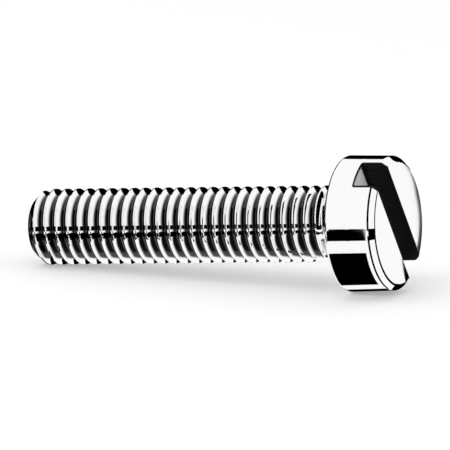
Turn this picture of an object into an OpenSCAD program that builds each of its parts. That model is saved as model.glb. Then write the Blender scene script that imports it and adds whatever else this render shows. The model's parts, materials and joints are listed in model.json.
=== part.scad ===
// Slotted cheese-head machine screw, 5 mm thread, lying on its side as it comes to rest.
// The screw is drawn on its own axis, with z = 0 at the bearing face under the head,
// the head above it and the shank below, and is then laid down on the floor plane.

/* [Thread] */
// Outer diameter of the thread and of the neck
thread_d = 5; // [4:0.1:7]
// Distance from one turn of the thread to the next
pitch = 0.8; // [0.7:0.05:1.2]
// Gap between the thread's crests and its full diameter, all round
crest_gap = 0.02; // [0.01:0.01:0.05]
// Length over which the groove rises out of the steel below the neck
runout = 0.8; // [0.4:0.1:2]
// Turn about the screw's axis at which the first full crest starts, from the floor line
thread_start = 270; // [0:9:351]

/* [Shank] */
// Length from the bearing face to the end of the point
length = 22; // [12:1:26]
// Length of the plain neck under the head
neck_length = 0.7; // [0.5:0.1:2]
// Radius of the fillet between the neck and the head
neck_fillet = 0.25; // [0.1:0.05:0.45]
// How far the flat of the point lies below the thread's root, on the radius
point_drop = 0.1; // [0.05:0.05:0.4]

/* [Head] */
// Diameter of the head at the bearing face
head_d = 8.8; // [8:0.1:13]
// Height of the head
head_h = 3.4; // [2.6:0.1:5]
// Lean of the head's side towards its axis, in degrees
head_draft = 1; // [0:0.5:5]
// Chamfer round the head's outer face
face_chamfer = 0.35; // [0.1:0.05:0.6]
// Broken edge round the bearing face
rim_break = 0.1; // [0.05:0.05:0.3]

/* [Slot] */
// Width of the slot
slot_w = 2.1; // [1:0.1:2.6]
// Depth of the slot from the head's outer face
slot_t = 1.7; // [1:0.1:2.2]
// Radius in the two corners of the slot's floor
slot_corner = 0.15; // [0.05:0.05:0.4]
// Turn of the slot about the screw's axis, from the line that touches the floor
slot_turn = 32; // [0:1:90]

/* [Hidden] */
$fn = 96;

// Straight pieces in one turn of the thread, and half the angle of its groove
turn_steps = 40;
flank_angle = 30;

// The basic thread form: its depth and the flat of its crest, as shares of the pitch
crest_r = thread_d / 2 - crest_gap;
thread_depth = 0.6134 * pitch;
root_r = crest_r - thread_depth;
crest_flat = pitch / 8;
flank = thread_depth * tan(flank_angle);
root_flat = pitch - crest_flat - 2 * flank;

// Where the four corners of the profile lie along one pitch, and which of them are crests
corner_z = [0, crest_flat, crest_flat + flank, crest_flat + flank + root_flat];
corner_is_crest = [true, true, false, false];
corners = len(corner_z);

// The point is a 45 degree chamfer that ends below the root
point_r = root_r - point_drop;
point_length = crest_r - point_r;

// The threaded rod goes up into the neck by half the neck's own length
thread_end = length - neck_length;
rod_end = thread_end + neck_length / 2;

// The first full crest starts just above the point and climbs to the right. It comes to
// the floor line at this height above the end of the point
first_touch = point_length + pitch * ((360 - thread_start) % 360) / 360;
rod_shift = pitch * (2 + ceil(point_length / pitch)) - first_touch;
rod_rows = corners * ceil((rod_end + rod_shift) / pitch + 1);

// Head
head_r = head_d / 2;
side_h = head_h - face_chamfer;
side_top_r = head_r - (side_h - rim_break) * tan(head_draft);
face_r = side_top_r - face_chamfer;
slot_reach = 2 * head_r;

// At rest the rim of the head and the first full crest touch the floor
rest_run = length - first_touch + rim_break;
rest_tilt = atan((head_r - crest_r) / rest_run);
rest_lift = (length - first_touch) * sin(rest_tilt) + crest_r * cos(rest_tilt);
far_x = head_h * cos(rest_tilt) + face_r * sin(rest_tilt);
near_x = -length * cos(rest_tilt) - point_r * sin(rest_tilt);
rest_shift = -(far_x + near_x) / 2;

// Radius at height s above the point: the groove fades out towards the neck,
// and the point's chamfer cuts off what stands outside it
function fade(s) = min(1, max(0, (s - thread_end + runout) / runout));
function groove_r(s) = root_r + thread_depth * fade(s);
function rod_r(row, s) =
    min(corner_is_crest[row % corners] ? crest_r : groove_r(s), point_r + s);

// Height of a corner of the profile: it climbs one pitch in each turn to the right,
// and what would lie past an end of the rod falls on the rim of that end
function climb(row, step) =
    pitch * floor(row / corners) + corner_z[row % corners]
    + pitch * step / turn_steps - rod_shift;
function rod_s(row, step) = min(rod_end, max(0, climb(row, step)));

function rod_point(row, step) =
    let (
        s = rod_s(row, step),
        r = rod_r(row, s),
        a = 360 * step / turn_steps
    )
    [r * cos(a), r * sin(a), s];

// Number of a corner in the list of points: after a whole turn a row meets the one
// that lies a pitch further on
function corner_at(row, step) =
    step < turn_steps
        ? step * (rod_rows + 1) + row
        : min(row + corners, rod_rows);

// Threaded rod with its point at z = 0, one closed mesh that follows the helix
module threaded_rod() {
    skin = [
        for (step = [0:turn_steps - 1])
            for (row = [0:rod_rows])
                rod_point(row, step)
    ];
    low_centre = len(skin);
    high_centre = low_centre + 1;
    sides = [
        for (step = [0:turn_steps - 1])
            for (row = [0:rod_rows - 1])
                let (
                    a = corner_at(row, step),
                    b = corner_at(row + 1, step),
                    c = corner_at(row + 1, step + 1),
                    d = corner_at(row, step + 1)
                )
                each [[a, b, c], [a, c, d]]
    ];
    low_end = [
        for (step = [0:turn_steps - 1])
            [low_centre, corner_at(0, step), corner_at(0, step + 1)]
    ];
    high_end = [
        for (step = [0:turn_steps - 1])
            [high_centre, corner_at(rod_rows, step + 1), corner_at(rod_rows, step)]
    ];
    polyhedron(
        points = concat(skin, [[0, 0, 0], [0, 0, rod_end]]),
        faces = concat(sides, low_end, high_end)
    );
}

// Neck with its fillet, turned about the axis
module neck() {
    neck_r = thread_d / 2;
    rotate_extrude() {
        translate([0, -neck_length])
            square([neck_r, neck_length + side_h / 2]);
        difference() {
            translate([0, -neck_fillet])
                square([neck_r + neck_fillet, neck_fillet + side_h / 2]);
            translate([neck_r + neck_fillet, -neck_fillet])
                circle(r = neck_fillet);
        }
    }
}

// Turned head: bearing face, side with its draft, chamfer and flat outer face
module head_blank() {
    rotate_extrude()
        polygon([
            [0, 0],
            [head_r - rim_break, 0],
            [head_r, rim_break],
            [side_top_r, side_h],
            [face_r, head_h],
            [0, head_h]
        ]);
}

// Section of the slot, with y = 0 at its floor
module slot_section() {
    corner_x = slot_w / 2 - slot_corner;
    translate([-slot_w / 2, slot_corner])
        square([slot_w, 2 * slot_t]);
    translate([-corner_x, 0])
        square([2 * corner_x, 2 * slot_t]);
    for (side = [-1, 1])
        translate([side * corner_x, slot_corner])
            circle(r = slot_corner);
}

// The screwdriver slot runs right across the head
module slot() {
    rotate([0, 0, slot_turn])
        translate([0, 0, head_h - slot_t])
            rotate([90, 0, 90])
                linear_extrude(height = 2 * slot_reach, center = true)
                    slot_section();
}

module screw() {
    color("silver")
        translate([rest_shift, 0, rest_lift])
            rotate([0, 90 - rest_tilt, 0]) {
                difference() {
                    head_blank();
                    slot();
                }
                neck();
                translate([0, 0, -length])
                    threaded_rod();
            }
}

screw();
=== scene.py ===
import json
import math
import bpy
import bmesh
import numpy as np
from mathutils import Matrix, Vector


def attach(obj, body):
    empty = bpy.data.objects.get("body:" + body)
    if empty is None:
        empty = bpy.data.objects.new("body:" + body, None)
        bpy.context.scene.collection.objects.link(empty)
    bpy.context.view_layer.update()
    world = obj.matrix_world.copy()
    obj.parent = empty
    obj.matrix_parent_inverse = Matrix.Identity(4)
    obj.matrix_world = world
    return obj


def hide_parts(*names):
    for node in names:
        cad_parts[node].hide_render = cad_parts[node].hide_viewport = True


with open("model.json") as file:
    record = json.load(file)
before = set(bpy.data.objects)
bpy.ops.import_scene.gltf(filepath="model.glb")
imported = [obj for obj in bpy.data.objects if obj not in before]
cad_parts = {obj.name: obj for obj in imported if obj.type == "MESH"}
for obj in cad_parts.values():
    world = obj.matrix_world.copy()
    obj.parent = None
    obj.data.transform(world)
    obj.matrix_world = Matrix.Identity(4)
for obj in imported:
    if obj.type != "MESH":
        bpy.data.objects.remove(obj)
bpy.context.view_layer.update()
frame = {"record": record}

mm = 0.001
sharpAngle = 32                         # degrees between two faces, past which their edge is sharp
colorA, colorB, mixedColor = 6, 7, 2    # sockets of a Mix node that mixes colours

# sizes of the screw in millimetres and degrees, as the frame has them
screwForm = {
    "threadDiameter": 5.0,
    "pitch": 0.8,
    "flankAngle": 30,       # from the cross-section to the flank
    "depthShare": 0.6134,   # depth of the groove, as a share of the pitch
    "rootShare": 0.1443,    # and the radius of its root
    "crestShare": 1 / 16,   # and half the flat of the crest
    "crestGap": 0.02,       # crest below the full diameter
    "crestRound": 0.02,     # radius on the corners of the crest
    "crestHold": 0.8,       # share of the crest's half width that stays flat
    "crestSteps": 2,
    "rootSteps": 4,
    "runout": 0.8,          # length in which the groove fades out
    "threadStart": 270.0,   # from the floor line to the first full crest
    "pointDrop": 0.1,       # flat of the point below the root
    "pointRows": (1, 0.98, 0.9, 0.6, 0.3, 0),   # rings on the flat, as shares of its radius
    "neckLength": 0.7,
    "neckFillet": 0.25,
    "neckRows": 4,
    "filletSteps": 8,
    "headDiameter": 8.8,
    "headDraft": 1.0,
    "seatRows": 6,
    "sideRows": 6,
    "rimBreak": 0.1,
    "rimRound": 0.17,       # cuts the rim's corner as deep as the break does
    "rimSteps": 6,
    "faceChamfer": 0.35,
    "edgeRound": 0.2,       # softening of the turned edges
    "edgeSteps": 4,
    "hold": 0.03,           # how near a rounded edge the flat beside it has its last points
    "slotWidth": 2.1,
    "slotDepth": 1.7,
    "slotTurn": 32.0,       # from the floor line
    "slotFillet": 0.15,     # in the corners of the slot's floor
    "slotEdge": 0.11,       # rounding where the slot's walls meet the face
    "slotSteps": 6,
    "wallRows": 5,
    "faceRows": (0, 0.012, 0.05, 0.2, 0.4, 0.6, 0.8, 0.95, 0.988, 1),   # from wall to chamfer
    "notchSteps": 10,       # columns of the skin across one end of the slot
    "halfSteps": 78,        # columns round each half of the head
    "weld": 1e-8,           # metres
    "shadeFacingDown": (0, 0.35, 0.75, 0.9),   # sine of the angle below the side, and the share of painted shade there: it darkens the lower side, but not the very bottom
    "shadeShareDown": (0, 1, 1, 0),           # oil there: it gathers low and rubs off on the floor
}


# the screw's own axis: a unit vector towards the head, the centre of the bearing face,
# the length below it and the height above it, all from the mounts
def axisFromMounts(record):
    mounts = {m["name"]: m for m in record["mounts"]}
    up = np.array(mounts["driver_slot"]["axis"], float)
    up /= np.linalg.norm(up)
    tip = np.array(mounts["thread"]["pos_m"], float)
    seat = np.array(mounts["bearing_face"]["pos_m"], float)
    top = np.array(mounts["driver_slot"]["pos_m"], float)
    length = float((seat - tip) @ up)
    return up, tip + up * length, length / mm, float((top - seat) @ up) / mm


# a circle's points: centre plus radius times cosine and sine, angles in degrees
def arc(center, radius, start, end, steps):
    a = np.radians(np.linspace(start, end, steps + 1))
    return np.stack([center[0] + radius * np.cos(a), center[1] + radius * np.sin(a)], 1)


# radius, angle and height turned into x, y and z
def polar(radius, angle, height):
    radius, angle, height = np.broadcast_arrays(radius, angle, height)
    return np.stack([radius * np.cos(angle), radius * np.sin(angle), height], -1)


# one pitch of the thread from crest to crest, as heights and shares of the full depth:
# straight flanks, a root arc that touches both, and a flat crest with rounded corners,
# which has a point close to each corner
def threadProfile(form):
    pitch, flank, soft = form["pitch"], form["flankAngle"], form["crestRound"]
    depth = form["depthShare"] * pitch
    rootRadius = form["rootShare"] * pitch
    cornerAt = form["crestShare"] * pitch - soft * math.tan(math.radians(flank))
    corner = arc((cornerAt, -soft), soft, 90, flank, form["crestSteps"])
    rootAt = (pitch / 2, rootRadius - depth)
    root = arc(rootAt, rootRadius, 180 + flank, 360 - flank, form["rootSteps"])
    flat = [[0.0, 0.0], [corner[0, 0] * form["crestHold"], 0.0]]
    middle = (corner[-1:] + root[:1]) / 2
    rising = np.concatenate([flat, corner, middle])
    falling = np.concatenate([rising, root])
    heights = np.concatenate([falling[:, 0], pitch - rising[:0:-1, 0]])
    levels = np.concatenate([falling[:, 1], rising[:0:-1, 1]])
    return heights, -levels / depth, depth


# angles of the skin's columns, in the slot's own frame: even steps across each end
# of the slot and round each half of the head
def columnAngles(form, notch):
    edges = [-notch, notch, math.pi - notch, math.pi + notch, 2 * math.pi - notch]
    steps = [form["notchSteps"], form["halfSteps"]] * 2
    parts = [np.linspace(a, b, n + 1)[:-1] for a, b, n in zip(edges[:-1], edges[1:], steps)]
    return np.append(np.concatenate(parts), edges[-1])


# grids of points that share one weld: each point joins the next row and the next column
def weldedObject(name, grids, weld):
    points, quads, count = [], [], 0
    for grid in grids:
        rows, columns = grid.shape[:2]
        index = np.arange(rows * columns).reshape(rows, columns) + count
        corners = [index[:-1, :-1], index[:-1, 1:], index[1:, 1:], index[1:, :-1]]
        quads.append(np.stack(corners, -1).reshape(-1, 4))
        points.append(grid.reshape(-1, 3))
        count += rows * columns
    mesh = bpy.data.meshes.new(name)
    mesh.from_pydata(np.concatenate(points), [], np.concatenate(quads).tolist())
    work = bmesh.new()
    work.from_mesh(mesh)
    bmesh.ops.remove_doubles(work, verts=work.verts, dist=weld)
    bmesh.ops.recalc_face_normals(work, faces=work.faces)
    work.to_mesh(mesh)
    work.free()
    mesh.shade_smooth()
    mesh.set_sharp_from_angle(angle=math.radians(sharpAngle))
    obj = bpy.data.objects.new(name, mesh)
    bpy.context.scene.collection.objects.link(obj)
    return obj


# the threaded rod: row by row up the profile, one pitch higher with each turn to the right;
# its radius is the crest less the groove, which fades out at the neck, and never more than
# the chamfer of the point, so rows past an end fall on that end's rim
def threadGrid(form, length, angles, turn):
    heights, share, depth = threadProfile(form)
    pitch = form["pitch"]
    crest = form["threadDiameter"] / 2 - form["crestGap"]
    point = crest - depth - form["pointDrop"]
    end = length - form["neckLength"]
    spare = 3               # pitches of rows past each end, so that every column reaches it
    rows = np.arange(len(heights) * (math.ceil(end / pitch) + 2 * spare))
    base = pitch * (rows // len(heights) - spare) + heights[rows % len(heights)]
    firstCrest = crest - point + form["crestShare"] * pitch - pitch * form["threadStart"] / 360
    climb = base[:, None] + pitch * (angles[None, :] + turn) / (2 * math.pi) + firstCrest
    z = np.clip(climb, 0, end)
    fade = np.clip((z - end + form["runout"]) / form["runout"], 0, 1)
    fade = fade * fade * (3 - 2 * fade)
    groove = depth * (1 - fade) * share[rows % len(heights)][:, None]
    radius = np.minimum(crest + form["crestGap"] * fade - groove, point + z)
    return polar(radius, angles[None, :], z - length), point


# radius of the head at given heights, and the heights of its turned edges: straight side
# with its draft, then the chamfer, with each edge as a short arc
def headRadius(form, height, z):
    rim = form["headDiameter"] / 2
    draft, slope = math.radians(form["headDraft"]), math.radians(45)
    chamfer, soft, steps = form["faceChamfer"], form["edgeRound"], form["edgeSteps"]
    sideTop = rim - (height - chamfer - form["rimBreak"]) * math.tan(draft)
    reach = soft * math.tan((slope - draft) / 2)
    low = np.array([sideTop + reach * math.sin(draft), height - chamfer - reach * math.cos(draft)])
    lowCenter = low - soft * np.array([math.cos(draft), math.sin(draft)])
    shoulder = arc(lowCenter, soft, math.degrees(draft), math.degrees(slope), steps)
    topReach = soft * math.tan(slope / 2)
    crownCenter = (sideTop - chamfer - topReach, height - soft)
    crown = arc(crownCenter, soft, math.degrees(slope), 90, steps)
    foot = np.array([[rim, form["rimBreak"]]])
    line = np.concatenate([foot, shoulder, crown])
    return np.interp(z, line[:, 1], line[:, 0]), line[1:, 1]


# half width of the slot at given heights: fillets at its floor, rounded edges at the face
def slotHalfWidth(form, height, z):
    half = form["slotWidth"] / 2
    fillet, edge = form["slotFillet"], form["slotEdge"]
    floor = height - form["slotDepth"]
    sunk = np.clip(floor + fillet - z, 0, fillet)
    raised = np.clip(z - height + edge, 0, edge)
    narrow = fillet - np.sqrt(fillet ** 2 - sunk ** 2)
    flare = edge - np.sqrt(edge ** 2 - raised ** 2)
    return half - narrow + flare


# everything above the slot's floor: the side of each half, the wall under it as the same
# points moved onto the slot's plane, the flat face between wall and chamfer, and the floor
def slottedHead(form, height):
    floor = height - form["slotDepth"]
    soft, edge, steps = form["slotFillet"], form["slotEdge"], form["slotSteps"]
    fillet = floor + arc((0, soft), soft, -90, 0, steps)[:, 1]
    flare = height + arc((0, -edge), edge, 0, 90, steps)[:, 1]
    turned = headRadius(form, height, 0)[1]
    between = np.linspace(fillet[-1], turned[0] - form["hold"], form["wallRows"])[1:]
    digits = 7              # rows whose heights agree this far are one row
    z = np.unique(np.round(np.concatenate([fillet, between, turned, flare]), digits))
    radius = headRadius(form, height, z)[0]
    half = slotHalfWidth(form, height, z)
    notch = np.arcsin(half / radius)
    share = np.linspace(0, 1, form["halfSteps"] + 1)
    angle = notch[:, None] + (math.pi - 2 * notch)[:, None] * share[None, :]
    side = polar(radius[:, None], angle, z[:, None])
    wall = side.copy()
    wall[:, :, 1] = half[:, None]
    face = wall[-1] + (side[-1] - wall[-1]) * np.array(form["faceRows"])[:, None, None]
    across = np.linspace(-notch[0], notch[0], form["notchSteps"] + 1)[:, None]
    along = (np.cos(angle[0]) / math.cos(notch[0]))[None, :]
    ground = np.stack(np.broadcast_arrays(
        radius[0] * np.cos(across) * along, radius[0] * np.sin(across), floor), -1)
    turn = np.array([-1, -1, 1])
    return [side, wall, face, side * turn, wall * turn, face * turn, ground], notch[0]


# neck, fillet, bearing face, rim and the side up to the slot's floor, turned about the axis
def lowerHead(form, height, angles):
    neck = form["threadDiameter"] / 2
    fillet, rim, hold = form["neckFillet"], form["rimRound"], form["hold"]
    edge = form["headDiameter"] / 2
    floor = height - form["slotDepth"]
    stem = [[neck, z] for z in np.linspace(-form["neckLength"], -fillet - hold, form["neckRows"])]
    curve = arc((neck + fillet, -fillet), fillet, 180, 90, form["filletSteps"])
    seat = [[r, 0] for r in np.linspace(neck + fillet + hold, edge - rim - hold, form["seatRows"])]
    corner = arc((edge - rim, rim), rim, -90, 0, form["rimSteps"])
    sideHeights = np.linspace(rim + hold, floor, form["sideRows"])
    side = [[headRadius(form, height, z)[0], z] for z in sideHeights]
    line = np.concatenate([stem, curve, seat, corner, side])
    return polar(line[:, :1], angles[None, :], line[:, 1:])


# the flat of the point: rings that shrink to the centre
def pointGrid(form, radius, length, angles):
    rings = radius * np.array(form["pointRows"])[:, None]
    return polar(rings, angles[None, :], -length)


# unit vectors along the slot and across it, both square to the screw's axis
def slotDirections(up, turn):
    down = np.cross(np.array([0.0, 1.0, 0.0]), up)
    side = np.cross(up, down)
    c, s = math.cos(turn), math.sin(turn)
    return c * down + s * side, c * side - s * down


# a point's place along the slot, across it and up the axis becomes a place in the row's frame
def placeOnAxis(grid, up, seat, turn):
    along, across = slotDirections(up, turn)
    return seat + mm * (grid[..., :1] * along + grid[..., 1:2] * across + grid[..., 2:] * up)


def makeScrew(form):
    up, seat, length, height = axisFromMounts(frame["record"])
    turn = math.radians(form["slotTurn"])
    grids, notch = slottedHead(form, height)
    angles = columnAngles(form, notch)
    thread, point = threadGrid(form, length, angles, turn)
    grids += [thread, lowerHead(form, height, angles), pointGrid(form, point, length, angles)]
    placed = [placeOnAxis(g, up, seat, turn) for g in grids]
    obj = weldedObject("cheeseHeadScrew", placed, form["weld"])
    print("screw:", len(obj.data.polygons), "faces")
    return obj, up, seat, height


# kept on the mesh for the finish: each point's share of the groove's depth and of the painted shade
# on the lower side, and in millimetres its own height and radius and its distance from the slot's
# middle.
# The faces in the slot take the second material, which paints the slot's shade and a pale floor
def markSurface(obj, form, up, seat, height):
    mesh = obj.data
    xyz = np.empty(len(mesh.vertices) * 3)
    mesh.vertices.foreach_get("co", xyz)
    away = (xyz.reshape(-1, 3) - seat) / mm
    own = away @ up
    away = away - own[:, None] * up
    radius = np.linalg.norm(away, axis=1)
    crest = form["threadDiameter"] / 2 - form["crestGap"]
    sunk = (crest - radius) / (form["depthShare"] * form["pitch"])
    groove = np.clip(sunk, 0, 1) * (own < -form["neckLength"])
    nearAxis = 1e-6         # keeps the division clear of the points on the axis
    below = -away[:, 2] / np.maximum(radius, nearAxis)
    # painted shade: more of it where the surface faces down
    paintedLowShade = np.interp(below, form["shadeFacingDown"], form["shadeShareDown"])
    across = slotDirections(up, math.radians(form["slotTurn"]))[1]
    marks = (("groove", groove), ("paintedLowShade", paintedLowShade), ("ownHeight", own), ("ownRadius", radius),
             ("slotSide", np.abs(away @ across)))
    for name, values in marks:
        mesh.attributes.new(name, "FLOAT", "POINT").data.foreach_set("value", values)
    faces = len(mesh.polygons)
    middle = np.empty(faces * 3)
    mesh.polygons.foreach_get("center", middle)
    middle = (middle.reshape(-1, 3) - seat) / mm
    slack = 0.002
    inSlot = np.abs(middle @ across) < form["slotWidth"] / 2 + form["slotEdge"] - slack
    inSlot &= middle @ up > height - form["slotDepth"] - slack
    mesh.polygons.foreach_set("material_index", inSlot.astype(np.int32))


# a node with the given values on its sockets, or on the node itself where it has no such socket
def addNode(tree, kind, **values):
    node = tree.nodes.new(kind)
    for key, value in values.items():
        if key in node.inputs:
            node.inputs[key].default_value = value
        else:
            setattr(node, key, value)
    return node


def newMaterial(name):
    material = bpy.data.materials.new(name)
    material.use_nodes = True
    tree = material.node_tree
    tree.nodes.clear()
    return material, tree, addNode(tree, "ShaderNodeOutputMaterial")


plateLook = {
    "color": (0.95, 0.955, 0.96, 1),
    # painted shade: the dark colour in the groove of the thread
    "grooveShadeColor": (0.06, 0.06, 0.063, 1),
    "grooveFrom": (0.45, 0.08),  # share of the depth at which the painted shade begins, high and low on the rod
    "grooveTo": (0.8, 0.4),      # and at which it is fully dark
    "roughness": (0.02, 0.04),
    "patchScale": 260.0,
    "patchDetail": 3.0,
    "ringScale": 60.0,      # turning marks to a millimetre
    "ringDetail": 2.0,
    "ringBump": 0.008,
    "ringDepth": 0.000004,
}


# bright plate: roughness drifts in soft patches, fine rings follow the lathe's cut,
# and the groove of the thread is painted dark as shade, higher up its flanks on the rod's lower side
def platedSteel(look):
    material, tree, out = newMaterial("brightPlate")
    shader = addNode(tree, "ShaderNodeBsdfPrincipled", Metallic=1.0)
    place = addNode(tree, "ShaderNodeTexCoord")
    groove = addNode(tree, "ShaderNodeAttribute", attribute_name="groove")
    paintedLowShade = addNode(tree, "ShaderNodeAttribute", attribute_name="paintedLowShade")
    # the painted shade in the groove: deeper in it, and on the lower side higher up its flanks
    ramp = addNode(tree, "ShaderNodeMapRange", interpolation_type="SMOOTHSTEP")
    for end, pair in (("From Min", look["grooveFrom"]), ("From Max", look["grooveTo"])):
        level = addNode(tree, "ShaderNodeMapRange")
        level.inputs["To Min"].default_value, level.inputs["To Max"].default_value = pair
        tree.links.new(paintedLowShade.outputs["Fac"], level.inputs["Value"])
        tree.links.new(level.outputs["Result"], ramp.inputs[end])
    tint = addNode(tree, "ShaderNodeMix", data_type="RGBA")
    tint.inputs[colorA].default_value = look["color"]
    tint.inputs[colorB].default_value = look["grooveShadeColor"]
    patch = addNode(tree, "ShaderNodeTexNoise", Scale=look["patchScale"], Detail=look["patchDetail"])
    rough = addNode(tree, "ShaderNodeMapRange")
    rough.inputs["To Min"].default_value = look["roughness"][0]
    rough.inputs["To Max"].default_value = look["roughness"][1]
    height = addNode(tree, "ShaderNodeAttribute", attribute_name="ownHeight")
    radius = addNode(tree, "ShaderNodeAttribute", attribute_name="ownRadius")
    cut = addNode(tree, "ShaderNodeCombineXYZ")
    rings = addNode(tree, "ShaderNodeTexNoise", Scale=look["ringScale"], Detail=look["ringDetail"])
    bump = addNode(tree, "ShaderNodeBump", Strength=look["ringBump"], Distance=look["ringDepth"])
    join = tree.links.new
    join(groove.outputs["Fac"], ramp.inputs["Value"])
    join(ramp.outputs["Result"], tint.inputs["Factor"])
    join(tint.outputs[mixedColor], shader.inputs["Base Color"])
    join(place.outputs["Object"], patch.inputs["Vector"])
    join(patch.outputs["Fac"], rough.inputs["Value"])
    join(rough.outputs["Result"], shader.inputs["Roughness"])
    join(height.outputs["Fac"], cut.inputs["X"])
    join(radius.outputs["Fac"], cut.inputs["Y"])
    join(cut.outputs["Vector"], rings.inputs["Vector"])
    join(rings.outputs["Fac"], bump.inputs["Height"])
    join(bump.outputs["Normal"], shader.inputs["Normal"])
    join(shader.outputs["BSDF"], out.inputs["Surface"])
    return material


slotLook = {
    # painted shade: the slot's walls near black, with faint lines of the saw in it
    "color": (0.02, 0.02, 0.021, 1),
    "scratchColor": (0.06, 0.06, 0.063, 1),
    "scratchScale": (400.0, 400.0, 9000.0),
    "scratchDetail": 3.0,
    # painted light: the floor's middle pale, as if lit through the slot's open end
    "paintedLightFloor": (0.9, 0.9, 0.91, 1),
    "floorHalf": (0.75, 0.95),  # the painted shade closes over the floor between these distances from its middle and between these from the screw's axis and over the wall between these heights above the floor
    "floorEnd": (4.05, 4.25),   # and between these from the screw's axis
    "floorRise": (0.01, 0.12),  # and the wall between these heights over the floor
    "roughness": 0.6,
}


# sawn slot: walls painted near black as shade, with lines left by the saw, and the middle of its
# floor painted pale, as light that falls in at the open end. A point is as dark as the strongest of
# the three limits of that pale stretch says, and the pale stretch is matte, not metal, so it
# scatters the light there
def slotWithPaintedShade(look, floorHeight):
    material, tree, out = newMaterial("slotPaintedShade")
    shader = addNode(tree, "ShaderNodeBsdfPrincipled", Roughness=look["roughness"])
    place = addNode(tree, "ShaderNodeTexCoord")
    turn = addNode(tree, "ShaderNodeMapping", Scale=look["scratchScale"])
    lines = addNode(tree, "ShaderNodeTexNoise", Scale=1.0, Detail=look["scratchDetail"])
    tint = addNode(tree, "ShaderNodeMix", data_type="RGBA")
    tint.inputs[colorA].default_value = look["color"]
    tint.inputs[colorB].default_value = look["scratchColor"]
    # the painted shade: how far a point lies from the pale middle of the floor
    paintedSlotShade = None
    limits = (("ownHeight", floorHeight, "floorRise"), ("slotSide", 0, "floorHalf"),
              ("ownRadius", 0, "floorEnd"))
    for name, base, key in limits:
        distance = addNode(tree, "ShaderNodeAttribute", attribute_name=name)
        fade = addNode(tree, "ShaderNodeMapRange", interpolation_type="SMOOTHSTEP")
        fade.inputs["From Min"].default_value = base + look[key][0]
        fade.inputs["From Max"].default_value = base + look[key][1]
        tree.links.new(distance.outputs["Fac"], fade.inputs["Value"])
        most = addNode(tree, "ShaderNodeMath", operation="MAXIMUM")
        most.inputs[1].default_value = 0
        tree.links.new(fade.outputs["Result"], most.inputs[0])
        if paintedSlotShade:
            tree.links.new(paintedSlotShade, most.inputs[1])
        paintedSlotShade = most.outputs[0]
    # the pale floor, painted light, where the painted shade lets it through
    whole = addNode(tree, "ShaderNodeMix", data_type="RGBA")
    whole.inputs[colorA].default_value = look["paintedLightFloor"]
    join = tree.links.new
    join(place.outputs["Object"], turn.inputs["Vector"])
    join(turn.outputs["Vector"], lines.inputs["Vector"])
    join(lines.outputs["Fac"], tint.inputs["Factor"])
    join(paintedSlotShade, whole.inputs["Factor"])
    join(tint.outputs[mixedColor], whole.inputs[colorB])
    join(whole.outputs[mixedColor], shader.inputs["Base Color"])
    join(paintedSlotShade, shader.inputs["Metallic"])
    join(shader.outputs["BSDF"], out.inputs["Surface"])
    return material


screw, screwUp, screwSeat, headHeight = makeScrew(screwForm)
screw.data.materials.append(platedSteel(plateLook))
screw.data.materials.append(slotWithPaintedShade(slotLook, headHeight - screwForm["slotDepth"]))
markSurface(screw, screwForm, screwUp, screwSeat, headHeight)
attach(screw, "root")
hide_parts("screw")
print("finish: bright plate and sawn slot")

floorLook = {
    "size": 0.6,
    "color": (0.72, 0.72, 0.72, 1),
    "cameraLift": 0.35,     # brings the open floor up to white for the camera alone
}


# the floor is white paper under the screw: the camera sees it lit and shaded, lifted to
# white where it is open, and the metal sees it plain white as it sees the room
def makeFloor(look):
    half = look["size"] / 2
    corners = [(-half, -half, 0), (half, -half, 0), (half, half, 0), (-half, half, 0)]
    mesh = bpy.data.meshes.new("floor")
    mesh.from_pydata(corners, [], [(0, 1, 2, 3)])
    obj = bpy.data.objects.new("floor", mesh)
    bpy.context.scene.collection.objects.link(obj)
    material, tree, out = newMaterial("whitePaper")
    paper = addNode(tree, "ShaderNodeBsdfDiffuse", Color=look["color"])
    lift = addNode(tree, "ShaderNodeEmission", Strength=look["cameraLift"])
    lifted = addNode(tree, "ShaderNodeAddShader")
    white = addNode(tree, "ShaderNodeEmission", Strength=1.0)
    path = addNode(tree, "ShaderNodeLightPath")
    mirrored = addNode(tree, "ShaderNodeMath", operation="MAXIMUM")
    forCamera = addNode(tree, "ShaderNodeMixShader")
    forMirror = addNode(tree, "ShaderNodeMixShader")
    join = tree.links.new
    join(paper.outputs[0], lifted.inputs[0])
    join(lift.outputs[0], lifted.inputs[1])
    join(path.outputs["Is Camera Ray"], forCamera.inputs[0])
    join(paper.outputs[0], forCamera.inputs[1])
    join(lifted.outputs[0], forCamera.inputs[2])
    join(path.outputs["Is Glossy Ray"], mirrored.inputs[0])
    join(path.outputs["Is Transmission Ray"], mirrored.inputs[1])
    join(mirrored.outputs[0], forMirror.inputs[0])
    join(forCamera.outputs[0], forMirror.inputs[1])
    join(white.outputs[0], forMirror.inputs[2])
    join(forMirror.outputs[0], out.inputs["Surface"])
    mesh.materials.append(material)
    print("floor set")


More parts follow.
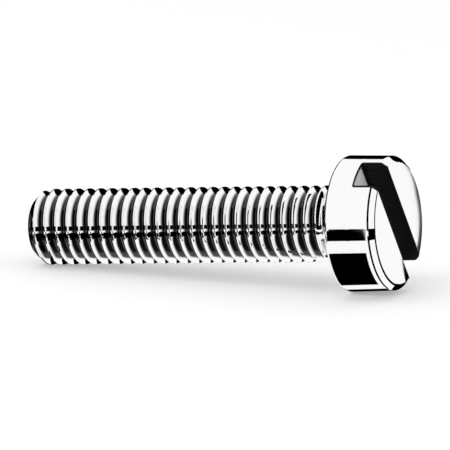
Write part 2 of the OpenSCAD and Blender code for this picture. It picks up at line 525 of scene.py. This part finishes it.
# the room round the screw is white with black panels, which the bright metal shows as dark
# stretches. Each panel is as large as the stretch that it darkens asks for, and that runs
# from one line on the screw to another. A line is the tilt of the surface towards the head's
# end in degrees, its height above the bearing face and its radius in millimetres, and the
# stretch round the screw in degrees up from the front
panelSetup = {
    # the head's side: the stripe at the front, the block under it and the lowest stretch
    "Stripe": ((1, -0.3, 4.4, -4.5, 5.6), (1, 2.85, 4.35, -4.5, 5.6)),
    "Block": ((1, -0.3, 4.4, -54, -15.5), (1, 2.75, 4.35, -54, -15.5)),
    "HeadLow": ((1, -0.3, 4.4, -84, -64), (1, 3.2, 4.35, -84, -64)),
    # the rounded rim round the bearing face
    "LeftRim": ((-10, 0.1, 4.38, 8, 62), (-62, 0.03, 4.3, 8, 62)),
    "TopRim": ((-4, 0.1, 4.38, 62, 98), (-42, 0.05, 4.3, 62, 98)),
    # the chamfer and its two edges
    "RingBlob": ((28, 3.05, 4.3, -4.5, 5.6), (62, 3.4, 4.0, -4.5, 5.6)),
    "SideHigh": ((5, 3.05, 4.35, 3.9, 45), (38, 3.05, 4.35, 3.9, 45)),
    "SideLow": ((5, 3.05, 4.35, -66, -0.6), (38, 3.05, 4.35, -66, -0.6)),
    "FaceLine": ((60, 3.4, 4.0, 0, 52), (86, 3.4, 4.0, 0, 52)),
    "Crescent": ((48, 3.28, 4.12, -80, 0), (85, 3.4, 4.0, -80, 0)),
    "RingTop": ((10, 3.05, 4.35, 87, 130), (88, 3.4, 4.0, 95, 130)),
    "RingLow": ((15, 3.05, 4.35, -100, -71), (88, 3.4, 4.0, -100, -71)),
    # the flat face: its far edge and the wedge at the slot's lower end
    "FaceEdge": ((90, 3.4, 3.4, 160, 222), (90, 3.4, 4.3, 95, 285)),
    "SlotEdge": ((90, 3.4, 2.3, -97, -90), (90, 3.4, 4.2, -110, -95)),
    # the thread: its top, its foot, the band at the front and the point
    "BackWall": ((-10, -11, 2.48, 78, 95), (62, -11, 2.3, 98, 128)),
    "CrestFoot": ((0, -22.3, 2.48, -86, -70), (0, -0.2, 2.48, -86, -70)),
    "CrestHigh": ((-9, -27, 2.48, 3.9, 10.9), (0, -0.5, 2.48, 3.9, 10.9)),
    "CrestLow": ((-9, -27, 2.48, -6.3, -0.6), (0, -0.5, 2.48, -6.3, -0.6)),
    "TipHigh": ((-32, -22, 2.48, 3.9, 10.9), (-10, -0.5, 2.48, 3.9, 10.9)),
    "TipLow": ((-32, -22, 2.48, -6.3, -0.6), (-10, -0.5, 2.48, -6.3, -0.6)),
    "Point": ((-60, -21.9, 2.0, -80, 100), (-38, -21.5, 2.3, -80, 100)),
}
panelLook = {
    "lines": 10,
    "steps": 64,
    "away": 150,            # millimetres from the screw, where the floor isn't nearer
    "overFloor": 0.00002,   # metres
}


# the panel for a dark stretch: the sight line from the camera to each of its points is
# mirrored by the surface there, and the panel lies on the floor or stands away in the room
def makePanel(name, mark, look, up, seat, eye):
    first, last = mark
    share = np.linspace(0, 1, look["lines"])[:, None]
    tilt, height, radius, start, end = [a + (b - a) * share for a, b in zip(first, last)]
    tilt = np.radians(tilt)
    angle = np.radians(start + (end - start) * np.linspace(0, 1, look["steps"])[None, :])
    front = np.array([0.0, -1.0, 0.0])
    outward = np.cos(angle)[..., None] * front + np.sin(angle)[..., None] * np.cross(front, up)
    normal = np.cos(tilt)[..., None] * outward + np.sin(tilt)[..., None] * up
    place = seat + mm * (height[..., None] * up + radius[..., None] * outward)
    view = eye - place
    view /= np.linalg.norm(view, axis=-1, keepdims=True)
    ray = 2 * np.sum(normal * view, axis=-1, keepdims=True) * normal - view
    level = -1e-9           # keeps the division clear of a level ray
    drop = np.where(ray[..., 2] < 0, -place[..., 2] / np.minimum(ray[..., 2], level), np.inf)
    panel = place + ray * np.minimum(drop, look["away"] * mm)[..., None]
    panel[..., 2] = np.maximum(panel[..., 2], look["overFloor"])
    obj = weldedObject("panel" + name, [panel], 0)
    obj.visible_camera = False
    obj.visible_diffuse = False
    obj.visible_shadow = False
    obj.visible_transmission = False
    return obj


def makePanels(marks, look, up, seat, eye):
    material, tree, out = newMaterial("blackPanel")
    shader = addNode(tree, "ShaderNodeEmission", Strength=0.0)
    tree.links.new(shader.outputs["Emission"], out.inputs["Surface"])
    for name, mark in marks.items():
        panel = makePanel(name, mark, look, up, seat, eye)
        panel.data.materials.append(material)
    print("panels:", len(marks))


lightSetup = {
    "ambient": 0.75,
    "keyPower": 0.35,
    "keySize": 0.25,
    "keyPlace": (-0.10, -0.16, 0.32),
}


# white surroundings that the camera and the metal see at full strength
def makeWorld(setup):
    world = bpy.data.worlds.new("whiteRoom")
    bpy.context.scene.world = world
    world.use_nodes = True
    tree = world.node_tree
    tree.nodes.clear()
    path = addNode(tree, "ShaderNodeLightPath")
    seen = addNode(tree, "ShaderNodeMath", operation="MAXIMUM")
    seenOrPassed = addNode(tree, "ShaderNodeMath", operation="MAXIMUM")
    level = addNode(tree, "ShaderNodeMapRange")
    level.inputs["To Min"].default_value = setup["ambient"]
    level.inputs["To Max"].default_value = 1.0
    shader = addNode(tree, "ShaderNodeBackground", Color=(1, 1, 1, 1))
    out = addNode(tree, "ShaderNodeOutputWorld")
    join = tree.links.new
    join(path.outputs["Is Camera Ray"], seen.inputs[0])
    join(path.outputs["Is Glossy Ray"], seen.inputs[1])
    join(seen.outputs[0], seenOrPassed.inputs[0])
    join(path.outputs["Is Transmission Ray"], seenOrPassed.inputs[1])
    join(seenOrPassed.outputs[0], level.inputs["Value"])
    join(level.outputs["Result"], shader.inputs["Strength"])
    join(shader.outputs["Background"], out.inputs["Surface"])


# a soft lamp above the front left, which the metal doesn't mirror
def makeKeyLight(setup):
    data = bpy.data.lights.new("softbox", "AREA")
    data.energy = setup["keyPower"]
    data.size = setup["keySize"]
    obj = bpy.data.objects.new("softbox", data)
    bpy.context.scene.collection.objects.link(obj)
    obj.visible_glossy = False
    obj.location = setup["keyPlace"]
    obj.rotation_euler = Vector(setup["keyPlace"]).to_track_quat("Z", "Y").to_euler()


cameraSetup = {
    "azimuth": 23.2,
    "elevation": 11.5,
    "distance": 0.6,
    "frameWidth": 0.02915,  # what the frame shows at the screw, in metres
    "aim": (0.0004, 0.0, 0.003575),
    "sensor": 36.0,
    "clipStart": 0.01,
}


# unit vector from the screw towards the camera
def viewDirection(setup):
    azimuth, elevation = math.radians(setup["azimuth"]), math.radians(setup["elevation"])
    return Vector((math.sin(azimuth) * math.cos(elevation),
                   -math.cos(azimuth) * math.cos(elevation), math.sin(elevation)))


# a long lens from the front right, a little above: the camera stands on a sphere about its aim
def makeCamera(setup):
    back = viewDirection(setup)
    data = bpy.data.cameras.new("camera")
    data.sensor_width = setup["sensor"]
    data.lens = setup["sensor"] * setup["distance"] / setup["frameWidth"]
    data.clip_start = setup["clipStart"]
    obj = bpy.data.objects.new("camera", data)
    bpy.context.scene.collection.objects.link(obj)
    obj.location = Vector(setup["aim"]) + back * setup["distance"]
    obj.rotation_euler = back.to_track_quat("Z", "Y").to_euler()
    bpy.context.scene.camera = obj
    return obj


makeFloor(floorLook)
camera = makeCamera(cameraSetup)
makePanels(panelSetup, panelLook, screwUp, screwSeat, np.array(camera.location))
makeWorld(lightSetup)
makeKeyLight(lightSetup)
bpy.context.scene.view_settings.view_transform = "Standard"
print("camera and light set")
